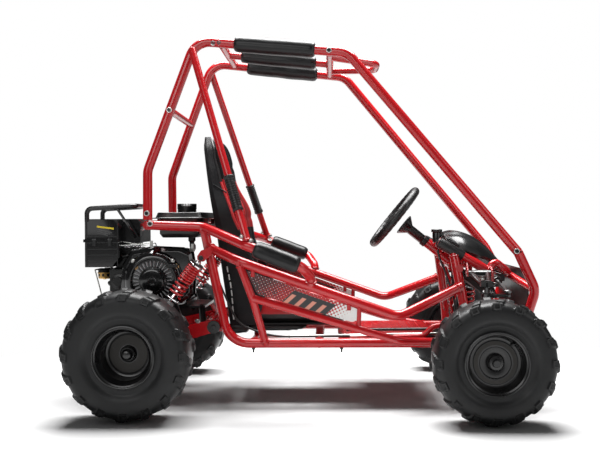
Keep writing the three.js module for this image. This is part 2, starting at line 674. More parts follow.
// Side panels, filling the space between side rail and sill
function addSidePanels() {
  sides.forEach(([side, word]) => {
    const lowX = front(-rail.lowBehind);
    const slope = side * (rail.lowHalf - rail.wideHalf) / (lowX - rail.wideX);
    const railZ = (x) => railPoint(side, x).z - mainTube - sidePanel.inset;
    const sillZ = (x) => THREE.MathUtils.mapLinear(x, sill.startX, lowX, sill.startZ, sill.endZ)
      + slimTube + sidePanel.inset;
    const rearTop = rail.wideX + mainTube + 2 * sidePanel.inset;
    const rearLow = sill.startX + slimTube + sidePanel.inset;
    const frontTop = lowX - (lowX - rail.wideX) / 4;
    const frontLow = frontTop - mainTube;
    const outline = [
      [rearTop, railZ(rearTop)], [rearLow, sillZ(rearLow)], [frontLow, sillZ(frontLow)],
      [frontTop, (sillZ(frontTop) + railZ(frontTop)) / 2], [frontTop, railZ(frontTop)],
    ];
    const flat = sheet(outline, -sidePanel.thick / 2, sidePanel.thick / 2);
    const turnAngle = THREE.MathUtils.radToDeg(Math.atan(slope));
    const panel = flat.translate([-rail.wideX, 0, 0]).rotate([0, 0, turnAngle])
      .translate([rail.wideX, side * rail.wideHalf, 0]);
    const tabs = [rearTop + mainTube, frontTop - mainTube * 2].map((x) => {
      const place = railPoint(side, x);
      return rod(at(x, place.y, place.z - mainTube * 2), at(x, place.y, place.z), slimTube / 2);
    });
    addMesh(`${word}_side_panel`, cut(join(panel, tabs), sideFrame(side, gap)), materials.panel);
  });
}

// Seat
const backX = (z) => seat.backX - (z - seat.backZ) * seat.leanShare;

// A horizontal cut of the seat back: a pan with wings, from its outer skin or, moved in, for its pad.
function wingOutline(half, depth, wall) {
  return [
    [depth, -half], [depth * 0.35, -half], [0, -half * 0.78], [0, half * 0.78], [depth * 0.35, half], [depth, half],
    [depth, half - wall], [depth * 0.35 + wall, half - wall], [wall, half * 0.78 - wall],
    [wall, -half * 0.78 + wall], [depth * 0.35 + wall, -half + wall], [depth, -half + wall],
  ].map(([x, y]) => new THREE.Vector2(x, y));
}

// Height, half width and wing depth of the back, as shares of the seat's own sizes.
const backShares = [
  [0, 0.97, 0.5], [0.2, 1, 0.72], [0.42, 1, 0.5], [0.58, 0.98, 0.36], [0.78, 0.8, 0.24], [0.93, 0.66, 0.16], [1, 0.52, 0.1],
];

function backRings(inset, wall) {
  return backShares.map(([heightShare, halfShare, depthShare]) => {
    const z = seat.backZ + (seat.topZ - seat.backZ) * heightShare;
    const outline = wingOutline(seat.half * halfShare - inset, seat.half * depthShare, wall);
    return { outline, ring: outline.map((corner) => at(backX(z) + corner.x + inset, corner.y, z)) };
  });
}

function addSeat() {
  const back = backRings(0, seat.wall);
  const shellBack = loft(back.map((level) => level.ring), [back[0].outline, back[back.length - 1].outline]);
  const frontX = seat.baseFrontX;
  const shellBase = block(
    at(seat.backX + seat.wall / 2, -seat.half * 0.9, seat.baseZ), at(frontX, seat.half * 0.9, seat.baseZ + seat.wall));
  addMesh('seat_shell', join(shellBack, shellBase), materials.plastic);
  addMesh('seat_back_cushion', backCushion(), materials.fabric);
  addMesh('seat_base_cushion', baseCushion(), materials.fabric);
}

// The back pad: a crowned face with channels sewn across it and bolsters up both sides.
function backCushion() {
  const low = seat.baseZ + seat.wall + seat.basePadHeight + 4 * gap;
  const high = seat.topZ - seat.wall;
  const levels = 12;
  const across = [-1, -0.86, -0.66, -0.56, -0.28, 0, 0.28, 0.56, 0.66, 0.86, 1];
  const bolster = [0.62, 1.25, 1.2, 0.72, 0.86, 0.9, 0.86, 0.72, 1.2, 1.25, 0.62];
  const rings = [];
  const outlines = [];
  for (let level = 0; level <= levels; level += 1) {
    const share = level / levels;
    const z = low + (high - low) * share;
    const whole = (z - seat.backZ) / (seat.topZ - seat.backZ);
    const halfShare = interpolate(whole, 1);
    const half = seat.half * halfShare * 0.78 - 2 * seat.wall;
    const ends = Math.sqrt(Math.max(0, 1 - (2 * share - 1) ** 8));
    const channel = level % 4 === 0 ? 0.86 : 1;
    const face = across.map((y, i) => new THREE.Vector2(
      seat.wall + gap + seat.padDepth * bolster[i] * (0.45 + 0.55 * ends) * channel, y * half));
    const rear = [new THREE.Vector2(seat.wall + gap, half * 0.94), new THREE.Vector2(seat.wall + gap, -half * 0.94)];
    const outline = [...face, ...rear];
    outlines.push(outline);
    rings.push(outline.map((corner) => at(backX(z) + corner.x, corner.y, z)));
  }
  return loft(rings, [outlines[0], outlines[levels]]);
}

function interpolate(heightShare, column2) {
  const upper = backShares.findIndex((row) => row[0] >= heightShare);
  const top = backShares[Math.max(upper, 1)];
  const low = backShares[Math.max(upper, 1) - 1];
  return THREE.MathUtils.mapLinear(heightShare, low[0], top[0], low[column2], top[column2]);
}

// The base pad: crowned, drawn in at its edges, with channels and raised side bolsters.
function baseCushion() {
  const startX = seat.backX + seat.wall * 2;
  const endX = seat.baseFrontX - seat.wall;
  const steps = 12;
  const half = seat.half * 0.88;
  const across = [-1, -0.88, -0.68, -0.58, -0.3, 0, 0.3, 0.58, 0.68, 0.88, 1];
  const bolster = [0.5, 1, 0.98, 0.56, 0.64, 0.68, 0.64, 0.56, 0.98, 1, 0.5];
  const base = seat.baseZ + seat.wall + gap;
  const rings = [];
  const outlines = [];
  for (let step = 0; step <= steps; step += 1) {
    const share = step / steps;
    const ends = Math.sqrt(Math.max(0, 1 - (2 * share - 1) ** 10));
    const channel = step % 4 === 0 ? 0.88 : 1;
    const height = seat.basePadHeight * (0.5 + 0.5 * ends) * channel;
    const width = half * (step === 0 ? 0.84 : 1);
    const face = across.map((y, i) => new THREE.Vector2(y * width, height * bolster[i]));
    const under = [new THREE.Vector2(width * 0.95, 0), new THREE.Vector2(-width * 0.95, 0)];
    const outline = [...face, ...under];
    outlines.push(outline);
    rings.push(outline.map((corner) => at(startX + (endX - startX) * share, corner.x, base + corner.y)));
  }
  return loft(rings, [outlines[0], outlines[steps]]);
}

// Wheels: a dished rim with its hub, and a tyre whose blocks alternate from shoulder to shoulder.
function rimSolid(centre, outward, width, dish, shaft) {
  const half = width / 2 - rim.lipWidth;
  const { lipRadius, barrelRadius, wellRadius, hubRadius, wall, lipWidth } = rim;
  const disc = half * dish;
  const hubIn = disc - axle.hubLength * 0.6;
  const hubOut = disc + axle.hubLength * 0.4;
  const bore = bored(shaft, rim.sides);
  const profile = [
    [lipRadius, half + lipWidth], [barrelRadius, half], [wellRadius, 0], [barrelRadius, -half],
    [lipRadius, -half - lipWidth], [wellRadius - wall, disc - wall],
    [hubRadius, disc - wall], [hubRadius, hubIn], [bore, hubIn], [bore, hubOut],
    [hubRadius, hubOut], [hubRadius, disc], [lipRadius - wall * 2, half + lipWidth],
  ];
  return turned(profile, centre, outward, rim.sides, true);
}

// The tyre is one ring of sections. Left blocks stand where right ones are cut, and each leans with its distance out.
function tyreSolid(centre, outward, radius, width) {
  const side = width / 2;
  const bead = side - rim.lipWidth - gap;
  const barrel = bored(rim.barrelRadius, rim.sides);
  const height = radius - rim.lipRadius;
  const section = (leftUp, rightUp) => {
    const half = (edge, up) => {
      const crown = radius - (up ? 0 : tread.height);
      const bulge = up ? tread.bulge : 0;
      return [
        [barrel, edge * bead, 0], [radius - tread.height - height * 0.2, edge * (side + bulge), 1],
        [crown, edge * side * 0.7, 1],
      ];
    };
    return [...half(-1, leftUp), ...half(1, rightUp).reverse()];
  };
  const pitch = 2 * Math.PI / tread.pitches;
  const turns = [0, tread.rampShare, 0.5, 0.5 + tread.rampShare];
  const raised = [[true, false], [false, true], [false, true], [true, false]];
  const rings = [];
  for (let step = 0; step < tread.pitches; step += 1) {
    turns.forEach((share, i) => {
      rings.push(section(...raised[i]).map(([r, y, lean]) => {
        const angle = (step + share + lean * tread.skewShare * Math.abs(y) / side) * pitch;
        return at(r * Math.cos(angle), y, r * Math.sin(angle));
      }));
    });
  }
  const whole = closedRing(rings);
  return (outward.y > 0 ? whole : whole.rotate([0, 0, 180])).translate(centre.toArray());
}

// Joins rings of equal count into a body that closes on itself.
function closedRing(rings) {
  const count = rings[0].length;
  const index = [];
  rings.forEach((ring, i) => {
    const next = (i + 1) % rings.length;
    ring.forEach((point, k) => {
      const after = (k + 1) % count;
      index.push(i * count + k, i * count + after, next * count + after);
      index.push(i * count + k, next * count + after, next * count + k);
    });
  });
  const geometry = new THREE.BufferGeometry();
  geometry.setAttribute('position', new THREE.Float32BufferAttribute(rings.flat().flatMap((point) => point.toArray()), 3));
  geometry.setIndex(index);
  return solidOf(geometry);
}

function addFrontWheels() {
  sides.forEach(([side, word]) => {
    const { radius, width } = tyres.front;
    const centre = at(wheelbase, side * frontTrack / 2, radius);
    const outward = at(0, side, 0);
    addMesh(`${word}_front_rim`, rimSolid(centre, outward, width, 0.45, spindle.radius), materials.black);
    addMesh(`${word}_front_tyre`, tyreSolid(centre, outward, radius, width), materials.rubber);
  });
}

function addRearWheels() {
  sides.forEach(([side, word]) => {
    const { radius, width } = tyres.rear;
    const centre = at(0, side * rearTrack / 2, radius);
    const outward = at(0, side, 0);
    addMesh(`${word}_rear_rim`, rimSolid(centre, outward, width, -0.1, axle.radius), materials.black);
    addMesh(`${word}_rear_tyre`, tyreSolid(centre, outward, radius, width), materials.rubber);
  });
}

// Front arms: a pair of legs from two eyes on the frame pin to one boss at the kingpin.
function addFrontArms() {
  sides.forEach(([side, word]) => {
    const arms = [
      ['lower', frontArm.lowerHalf, frontArm.lowerZ, kingpin.lowZ],
      ['upper', frontArm.upperHalf, frontArm.upperZ, kingpin.topZ],
    ];
    arms.forEach(([level, half, innerZ, outerZ]) => {
      const boss = at(wheelbase, side * kingpin.half, outerZ);
      const reach = frontArm.span / 2 - gap;
      const legs = [-1, 1].map((end) => {
        const eye = at(front(end * (reach - frontArm.tubeRadius * 1.2)), side * half, innerZ);
        return rod(eye, at(boss.x + end * kingpin.eyeRadius, boss.y - side * kingpin.eyeRadius * 1.2, boss.z),
          frontArm.tubeRadius);
      });
      const hinge = rod(at(front(-reach), side * half, innerZ), at(front(reach), side * half, innerZ), frontArm.eyeRadius);
      const fork = block(
        at(front(-kingpin.eyeRadius * 1.6), Math.min(boss.y + side * kingpin.eyeRadius, boss.y - side * kingpin.eyeRadius * 1.9),
          boss.z - plate * 2),
        at(front(kingpin.eyeRadius * 1.6), Math.max(boss.y + side * kingpin.eyeRadius, boss.y - side * kingpin.eyeRadius * 1.9),
          boss.z + plate * 2));
      const room = level === 'lower' ? lowerForkRoom(side) : upperForkRoom(side);
      const bore = rod(at(front(-frontArm.span), side * half, innerZ), at(front(frontArm.span), side * half, innerZ),
        bored(frontArm.pinRadius));
      const shockPin = level === 'lower' ? [shockFootPin(side)] : [];
      addMesh(`${word}_${level}_arm`, join(cut(join(...legs, hinge, fork), bore, room), ...shockPin), materials.black);
    });
  });
}

const forkReach = kingpin.eyeRadius + 3 * gap;

// The lower fork holds a cross pin on X; the kingpin's eye turns on it.
function lowerForkRoom(side) {
  const crossBore = rod(
    at(front(-frontArm.span), side * kingpin.half, kingpin.lowZ), at(front(frontArm.span), side * kingpin.half, kingpin.lowZ),
    bored(frontArm.pinRadius));
  return join(crossBore, block(
    at(front(-kingpin.radius - gap), Math.min(side * (kingpin.half - forkReach), side * (kingpin.half + forkReach * 2)),
      kingpin.lowZ - forkReach),
    at(front(kingpin.radius + gap), Math.max(side * (kingpin.half - forkReach), side * (kingpin.half + forkReach * 2)),
      kingpin.lowZ + forkReach)));
}

// The open pivot: the upper boss has room for the kingpin's head to drift as the arms swing.
function upperForkRoom(side) {
  return rod(at(wheelbase, side * kingpin.half, kingpin.topZ - forkReach), at(wheelbase, side * kingpin.half,
    kingpin.topZ + forkReach), bored(kingpin.radius + kingpin.drift));
}

function shockFoot(side) {
  const share = (frontShock.footHalf - frontArm.lowerHalf) / (kingpin.half - frontArm.lowerHalf);
  return at(front(frontShock.ahead), side * frontShock.footHalf,
    THREE.MathUtils.lerp(frontArm.lowerZ, kingpin.lowZ, share) + frontArm.tubeRadius * 2);
}

function shockFootPin(side) {
  const foot = shockFoot(side);
  return block(
    at(foot.x - frontShock.coilRadius, foot.y - plate * 2, foot.z - frontArm.tubeRadius * 2.4),
    at(foot.x + plate, foot.y + plate * 2, foot.z - plate * 2));
}

function addKingpins() {
  sides.forEach(([side, word]) => {
    const low = at(wheelbase, side * kingpin.half, kingpin.lowZ);
    const top = at(wheelbase, side * kingpin.half, kingpin.topZ + plate);
    const eye = rod(at(front(-kingpin.radius), low.y, low.z), at(front(kingpin.radius), low.y, low.z), kingpin.eyeRadius);
    const crossPin = rod(at(front(-kingpin.eyeRadius * 1.6), low.y, low.z), at(front(kingpin.eyeRadius * 1.6), low.y, low.z),
      frontArm.pinRadius);
    const collar = rod(at(low.x, low.y, sleeve.topZ + gap), at(low.x, low.y, sleeve.topZ + plate), sleeve.radius * 0.8);
    addMesh(`${word}_kingpin`, join(rod(low, top, kingpin.radius), eye, collar, crossPin), materials.steel);
  });
}

function addKnuckles() {
  sides.forEach(([side, word]) => {
    const x = wheelbase;
    const y = side * kingpin.half;
    const lowZ = kingpin.lowZ + sleeve.lowAbove;
    const body = rod(at(x, y, lowZ), at(x, y, sleeve.topZ), sleeve.radius, 10);
    const spindleZ = tyres.front.radius;
    const endY = side * (frontTrack / 2 + tyres.front.width * 0.42);
    const stub = turned([
      [spindle.flangeRadius, 0], [spindle.flangeRadius, sleeve.radius * 2], [spindle.radius, sleeve.radius * 2],
      [spindle.radius, Math.abs(endY - y)],
    ], at(x, y, spindleZ), at(0, side, 0));
    const armZ = sleeve.topZ;
    const steer = sheetFlat([
      [x, y - sleeve.radius * 0.8], [x, y + sleeve.radius * 0.8],
      [front(spindle.armAhead), side * spindle.armHalf + tieRod.eyeRadius * 0.8],
      [front(spindle.armAhead) + tieRod.eyeRadius * 0.8, side * spindle.armHalf],
      [front(spindle.armAhead), side * spindle.armHalf - tieRod.eyeRadius * 0.8],
    ], armZ - spindle.armThick, armZ);
    const bore = rod(at(x, y, kingpin.lowZ), at(x, y, kingpin.topZ), bored(kingpin.radius));
    addMesh(`${word}_knuckle`, cut(join(body, stub, steer), bore), materials.black);
  });
}

// A plate cut to an outline in the X-Y plane, from one Z to another.
function sheetFlat(outline, lowZ, highZ) {
  const shape = new THREE.Shape(outline.map(([x, y]) => new THREE.Vector2(x, y)));
  return solidOf(new THREE.ExtrudeGeometry(shape, { depth: highZ - lowZ, bevelEnabled: false }).translate(0, 0, lowZ));
}

const curlSteps = 8;
const curlSides = 4;

// A spring wound by formula: tight curls, then open ones, from one seat to the other.
function coil(start, end, radius, wire, tight, open, tightPitch) {
  const length = start.distanceTo(end) - 2 * wire;
  const direction = end.clone().sub(start).normalize();
  const turn = new THREE.Quaternion().setFromUnitVectors(at(0, 1, 0), direction);
  const curls = tight + open;
  const openPitch = (length - tight * tightPitch) / open;
  const rise = (curl) => (curl < open ? curl * openPitch : open * openPitch + (curl - open) * tightPitch);
  const place = (curl) => at(
    radius * Math.cos(2 * Math.PI * curl), wire + rise(curl), radius * Math.sin(2 * Math.PI * curl),
  ).applyQuaternion(turn).add(start);
  const stations = [];
  for (let step = 0; step <= curls * curlSteps; step += 1) {
    const curl = step / curlSteps;
    const point = place(curl);
    const ahead = place(curl + 0.01);
    stations.push({ point, tangent: ahead.sub(point).normalize() });
  }
  return { solid: pathSolid(new StationCurve(stations), wire, curlSides), least: leastGap(stations, wire) };
}

// The least space between curls, measured between centre points half a curl or more apart.
function leastGap(stations, wire) {
  let least = Infinity;
  stations.forEach((station, i) => {
    for (let k = i + curlSteps / 2; k < stations.length; k += 1) {
      least = Math.min(least, station.point.distanceTo(stations[k].point) - 2 * wire);
    }
  });
  return least;
}

// Front shocks, each one telescoping unit whose length changes with its arm.
function addFrontShocks() {
  sides.forEach(([side, word]) => {
    const foot = shockFoot(side);
    const top = at(foot.x, side * frontShock.topHalf, frontShock.topZ);
    const up = top.clone().sub(foot).normalize();
    const lowSeat = along(foot, top, 0.12);
    const highSeat = along(foot, top, 0.86);
    const eye = (centre) => rod(
      at(centre.x - plate * 1.5, centre.y, centre.z), at(centre.x + plate * 1.5, centre.y, centre.z), frontShock.eyeRadius);
    const body = join(
      eye(foot), eye(top), rod(foot, top, rearShock.rodRadius), rod(along(foot, top, 0.4), top, rearShock.bodyRadius),
      rod(lowSeat, lowSeat.clone().addScaledVector(up, plate), rearShock.seatRadius, roundSides),
      rod(highSeat, highSeat.clone().addScaledVector(up, plate), rearShock.seatRadius, roundSides),
    );
    const wound = coil(
      lowSeat.clone().addScaledVector(up, plate - frontShock.wire), highSeat.clone().addScaledVector(up, frontShock.wire),
      frontShock.coilRadius, frontShock.wire, 0, frontShock.coils, 0);
    console.log(`${word}_front_shock spring, least gap ${wound.least.toFixed(2)} mm`);
    addMesh(`${word}_front_shock`, join(body, wound.solid), materials.red);
  });
}

// Steering
function addSteering() {
  const axis = columnAxis();
  const hub = columnPoint(0);
  const rimCentre = columnPoint(-wheel.dish);
  const ringTurn = new THREE.Quaternion().setFromUnitVectors(at(0, 0, 1), axis);
  const ring = solidOf(new THREE.TorusGeometry(wheel.radius - wheel.gripRadius, wheel.gripRadius, 6, 20)
    .applyQuaternion(ringTurn).translate(rimCentre.x, rimCentre.y, rimCentre.z));
  const across = at(0, 1, 0);
  const upward = axis.clone().cross(across);
  const spokes = [];
  for (let i = 0; i < wheel.spokes; i += 1) {
    const angle = 2 * Math.PI * i / wheel.spokes + Math.PI / 2;
    const outwardDirection = across.clone().multiplyScalar(Math.cos(angle)).addScaledVector(upward, Math.sin(angle));
    const start = hub.clone().addScaledVector(outwardDirection, wheel.hubRadius / 2).addScaledVector(axis, -plate);
    const end = rimCentre.clone().addScaledVector(outwardDirection, wheel.radius - wheel.gripRadius);
    spokes.push(flatBar(start, end, axis, wheel.spokeWidth, plate));
  }
  const plateTop = hub.clone().addScaledVector(axis, -plate * 1.5);
  const disc = rod(plateTop, hub, wheel.hubRadius, 16);
  addMesh('steering_wheel', join(ring, ...spokes, disc), materials.plastic);

  const shaftEnd = columnPoint(columnLength());
  const shaft = turned([
    [wheel.hubRadius, gap], [wheel.hubRadius, plate], [column.tubeRadius, wheel.boss / 2],
    [column.tubeRadius, column.tubeStart - gap * 2], [column.shaftRadius, column.tubeStart - gap * 2],
    [column.shaftRadius, columnLength()],
  ], hub, axis, 10);
  addMesh('steering_shaft', shaft, materials.black);

  const rackZ = rack.z;
  const barrel = rod(at(front(rack.ahead), -rack.half, rackZ), at(front(rack.ahead), rack.half, rackZ), rack.tubeRadius, roundSides);
  const pinionBox = rod(columnPoint(columnLength() - column.tubeRadius * 4), shaftEnd.clone().addScaledVector(axis, column.tubeRadius),
    column.tubeRadius * 1.35, roundSides);
  const boots = sides.map(([side]) => bootSolid(side));
  const feet = sides.map(([side]) => block(
    at(front(rack.ahead), Math.min(side * rack.half * 0.7, side * rack.half * 0.9), rackZ - plate),
    at(front(dash.dipAhead), Math.max(side * rack.half * 0.7, side * rack.half * 0.9), rackZ + rack.tubeRadius)));
  const barBore = rod(at(front(rack.ahead), -rack.endHalf * 2, rackZ), at(front(rack.ahead), rack.endHalf * 2, rackZ),
    bored(rack.rodRadius, boreSides), boreSides);
  const shaftBore = rod(columnPoint(0), columnPoint(columnLength() + gap), bored(column.shaftRadius));
  const housing = cut(join(barrel, pinionBox, ...boots, feet), barBore, shaftBore, frontTubes(right, gap), frontTubes(left, gap));
  addMesh('rack_housing', housing, materials.black);

  addMesh('steering_rack', rod(
    at(front(rack.ahead), -rack.endHalf + rack.rodRadius + gap, rackZ),
    at(front(rack.ahead), rack.endHalf - rack.rodRadius - gap, rackZ), rack.rodRadius), materials.steel);
}

// The shaft ends under the rack, square below the rack's axis.
function columnLength() {
  const axis = columnAxis();
  return at(front(rack.ahead), 0, rack.z).sub(columnPoint(0)).dot(axis);
}

// A ribbed rubber boot over the end of the rack.
function bootSolid(side) {
  const length = rack.bootHalf - rack.half;
  const folds = 3;
  const profile = [[rack.rodRadius, 0]];
  for (let fold = 0; fold <= folds * 2; fold += 1) {
    const share = fold / (folds * 2);
    const radius = fold % 2 === 0 ? rack.tubeRadius : rack.tubeRadius * 1.3;
    profile.push([radius * (1 - share * 0.25), length * share]);
  }
  profile.push([rack.rodRadius, length]);
  return turned(profile, at(front(rack.ahead), side * rack.half, rack.z), at(0, side, 0), roundSides);
}

// A flat bar between two points, its thickness along a given direction.
function flatBar(start, end, thin, width, thick) {
  const run = end.clone().sub(start);
  const basisY = run.clone().normalize();
  const basisZ = thin.clone().addScaledVector(basisY, -thin.dot(basisY)).normalize();
  const basisX = basisY.clone().cross(basisZ);
  const matrix = new THREE.Matrix4().makeBasis(basisX, basisY, basisZ);
  const middle = along(start, end, 0.5);
  return solidOf(new THREE.BoxGeometry(width, run.length(), thick).applyMatrix4(matrix)
    .translate(middle.x, middle.y, middle.z));
}

function addTieRods() {
  sides.forEach(([side, word]) => {
    const inner = at(front(rack.ahead), side * rack.endHalf, rack.z);
    const armTop = sleeve.topZ + tieRod.lift;
    const outer = at(front(spindle.armAhead), side * spindle.armHalf, armTop + tieRod.height / 2);
    const stem = rod(inner, outer, tieRod.radius);
    const ball = solidOf(new THREE.SphereGeometry(rack.rodRadius, 6, 4).translate(inner.x, inner.y, inner.z));
    const end = turned([
      [tieRod.seatRadius, 0], [tieRod.eyeRadius, tieRod.height * 0.3], [tieRod.eyeRadius, tieRod.height * 0.8],
      [tieRod.eyeRadius * 0.7, tieRod.height],
    ], at(outer.x, outer.y, armTop), at(0, 0, 1), roundSides);
    addMesh(`${word}_tie_rod`, join(stem, ball, end), materials.chrome);
  });
}

// Swing arm: two box beams from the pivot boss to the bearing carriers, an engine plate on struts and shock studs.
function addSwingArm() {
  const { pivotX, pivotZ, beamHalf, beamWidth, beamHeight } = swing;
  const axleZ = tyres.rear.radius;
  const bossHalf = floor.half - mainTube - plate / 2 - gap;
  const boss = rod(at(pivotX, -bossHalf, pivotZ), at(pivotX, bossHalf, pivotZ), swing.pivotRadius, roundSides);
  const beams = sides.flatMap(([side]) => {
    const low = side * beamHalf - beamWidth / 2;
    const high = side * beamHalf + beamWidth / 2;
    const outline = [
      [pivotX, pivotZ + beamHeight / 2], [0, axleZ + axle.bearingRadius], [-axle.bearingRadius, axleZ + axle.bearingRadius / 2],
      [-axle.bearingRadius, axleZ - axle.bearingRadius / 2], [0, axleZ - axle.bearingRadius], [pivotX, pivotZ - beamHeight / 2],
    ];
    const window = hole(pivotX * 0.5, (pivotZ + axleZ) / 2, beamHeight / 4);
    const beam = sheet(outline, low, high, [window]);
    const stud = rod(
      at(rearShock.footX, side * (beamHalf + beamWidth / 2), rearShock.footZ),
      at(rearShock.footX, side * (rearShock.half + rearShock.eyeWidth / 2 + plate), rearShock.footZ),
      rearShock.studRadius);
    const gusset = sheet([
      [rearShock.footX - beamHeight, pivotZ - beamHeight / 2], [rearShock.footX + beamHeight, pivotZ],
      [rearShock.footX + rearShock.eyeRadius, rearShock.footZ + rearShock.eyeRadius],
      [rearShock.footX - rearShock.eyeRadius, rearShock.footZ + rearShock.eyeRadius],
    ], Math.min(side * beamHalf, side * (beamHalf + beamWidth / 2 + plate)),
    Math.max(side * beamHalf, side * (beamHalf + beamWidth / 2 + plate)));
    return [beam, stud, gusset];
  });
  const cradle = block(
    at(swing.plateTailX, -swing.plateHalf, swing.plateZ), at(swing.plateFrontX, swing.plateHalf, swing.plateZ + plate * 2));
  const strut = (x, z) => rod(at(x, -beamHalf, z), at(x, beamHalf, z), swing.strutRadius);
  const legs = sides.flatMap(([side]) => [
    rod(at(swing.plateFrontX - slimTube, side * swing.plateHalf * 0.9, swing.plateZ + plate),
      at(pivotX - beamHeight, side * beamHalf, pivotZ), swing.strutRadius),
    rod(at(swing.plateTailX + slimTube, side * swing.plateHalf * 0.9, swing.plateZ + plate),
      at(-slimTube, side * beamHalf, axleZ + slimTube), swing.strutRadius),
  ]);
  const arm = join(boss, beams, cradle, legs, strut(pivotX - beamHeight * 1.5, pivotZ - plate * 2), caliperSolid());
  const bores = [
    rod(at(0, -rearTrack, axleZ), at(0, rearTrack, axleZ), bored(axle.radius, roundSides), roundSides),
    rod(at(pivotX, -floor.half, pivotZ), at(pivotX, floor.half, pivotZ), bored(swing.pinRadius)),
  ];
  addMesh('swing_arm', cut(arm, bores), materials.red);
}

// A caliper astride the disc, on a tongue from the right beam.
function caliperSolid() {
  const z = tyres.rear.radius;
  const y = -axle.discHalf;
  const reach = axle.discRadius;
  const half = axle.discThick / 2 + 2 * gap;
  const cheek = plate * 3;
  const body = block(at(-reach * 0.95, y - half - cheek, z + reach * 0.35), at(-reach * 0.3, y + half + cheek, z + reach));
  const slot = rod(at(0, y - half, z), at(0, y + half, z), bored(reach, 16), 16);
  const piston = rod(at(-reach * 0.62, y - half - cheek - plate * 2, z + reach * 0.62),
    at(-reach * 0.62, y - half - plate, z + reach * 0.62), cheek, roundSides);
  const tongue = block(
    at(-reach * 0.7, y + half + plate, z + reach * 0.2), at(-axle.hubRadius * 0.6, -swing.beamHalf, z + reach * 0.45));
  return cut(join(body, piston, tongue), slot);
}

// Live axle with bearing collars, hubs, sprocket on the left and brake disc on the right.
function addRearAxle() {
  const z = tyres.rear.radius;
  const half = rearTrack / 2 + axle.hubLength * 0.5;
  const alongY = (from, to, radius, count = roundSides) => rod(at(0, from, z), at(0, to, z), radius, count);
  const shaft = alongY(-half, half, axle.radius);
  const hubs = sides.map(([side]) => {
    const inner = side * (rearTrack / 2 - axle.hubLength * 1.6);
    return alongY(inner, side * (rearTrack / 2 - axle.hubLength * 0.95), axle.hubRadius * 0.8);
  });
  const teeth = 20;
  const corners = [];
  for (let tooth = 0; tooth < teeth * 2; tooth += 1) {
    const angle = Math.PI * tooth / teeth;
    const radius = axle.sprocketRadius + (tooth % 2 === 0 ? chain.thick / 4 : -chain.thick / 4);
    corners.push([radius * Math.cos(angle), z + radius * Math.sin(angle)]);
  }
  const sprocketHoles = ringHoles(0, z, axle.sprocketRadius * 0.62, 6, axle.sprocketRadius * 0.17);
  const sprocket = sheet(corners, axle.sprocketHalf - axle.sprocketThick / 2, axle.sprocketHalf + axle.sprocketThick / 2,
    sprocketHoles);
  const discHoles = ringHoles(0, z, axle.discRadius * 0.66, 6, axle.discRadius * 0.1);
  const disc = sheet(
    polygon(axle.discRadius, 18).getPoints().map((corner) => [corner.x, z + corner.y]),
    -axle.discHalf - axle.discThick / 2, -axle.discHalf + axle.discThick / 2, discHoles);
  const carriers = [-axle.discHalf, axle.sprocketHalf].map((y) => alongY(y - plate * 2, y + plate * 2, axle.hubRadius * 0.7));
  addMesh('rear_axle', join(shaft, hubs, carriers, sprocket, disc), materials.steel);
}

function ringHoles(x, z, radius, count, size) {
  const holes = [];
  for (let i = 0; i < count; i += 1) {
    const angle = 2 * Math.PI * i / count;
    holes.push(hole(x + radius * Math.cos(angle), z + radius * Math.sin(angle), size, 5));
  }
  return holes;
}

// Rear shocks: damper body above, chrome rod below, and one red spring between their seats.
function shockEnds(side) {
  return [
    at(rearShock.footX, side * rearShock.half, rearShock.footZ),
    at(rearShock.topX, side * rearShock.half, rearShock.topZ),
  ];
}

function shockEye(centre, bore) {
  const half = rearShock.eyeWidth / 2;
  const ring = rod(at(centre.x, centre.y - half, centre.z), at(centre.x, centre.y + half, centre.z), rearShock.eyeRadius, roundSides);
  const through = rod(
    at(centre.x, centre.y - half - overrun, centre.z), at(centre.x, centre.y + half + overrun, centre.z), bore);
  return { ring, through };
}

function addRearShocks() {
  sides.forEach(([side, word]) => {
    const [foot, top] = shockEnds(side);
    const up = top.clone().sub(foot).normalize();
    const down = up.clone().negate();
    const length = foot.distanceTo(top);
    const step = (origin, direction, reach) => origin.clone().addScaledVector(direction, reach);
    const seatReach = rearShock.eyeRadius * 1.9;
    const topEye = shockEye(top, rearShock.eyeBore);
    const bodyEnd = step(top, down, length * rearShock.bodyShare);
    const topSeat = rod(step(top, down, seatReach), step(top, down, seatReach + plate), rearShock.seatRadius, roundSides);
    const neck = rod(step(top, down, rearShock.eyeRadius / 2), step(top, down, seatReach + plate), rearShock.neckRadius);
    const barrel = rod(step(top, down, seatReach), bodyEnd, rearShock.bodyRadius, roundSides);
    const boreStart = step(top, down, seatReach + plate * 2);
    const bore = rod(boreStart, step(bodyEnd, down, overrun), bored(rearShock.rodRadius));
    addMesh(`${word}_rear_shock_body`,
      cut(join(topEye.ring, neck, barrel, topSeat), topEye.through, bore), materials.black);

    const footEye = shockEye(foot, rearShock.eyeBore);
    const rodEnd = step(boreStart, down, rearShock.stroke + gap);
    const chromeRod = rod(step(foot, up, rearShock.eyeRadius / 2), rodEnd, rearShock.rodRadius);
    const footSeat = rod(step(foot, up, seatReach * 0.8), step(foot, up, seatReach * 0.8 + plate), rearShock.seatRadius, roundSides);
    addMesh(`${word}_rear_shock_rod`, cut(join(footEye.ring, chromeRod, footSeat), footEye.through), materials.chrome);

    const wound = coil(
      step(foot, up, seatReach * 0.8 + plate + gap), step(top, down, seatReach + plate + gap),
      rearShock.coilRadius, rearShock.wire, rearShock.tightCurls, rearShock.openCurls, rearShock.wire * 2 + rearShock.curlGap);
    console.log(`${word}_rear_spring, least gap ${wound.least.toFixed(2)} mm`);
    addMesh(`${word}_rear_spring`, wound.solid, materials.red);
  });
}

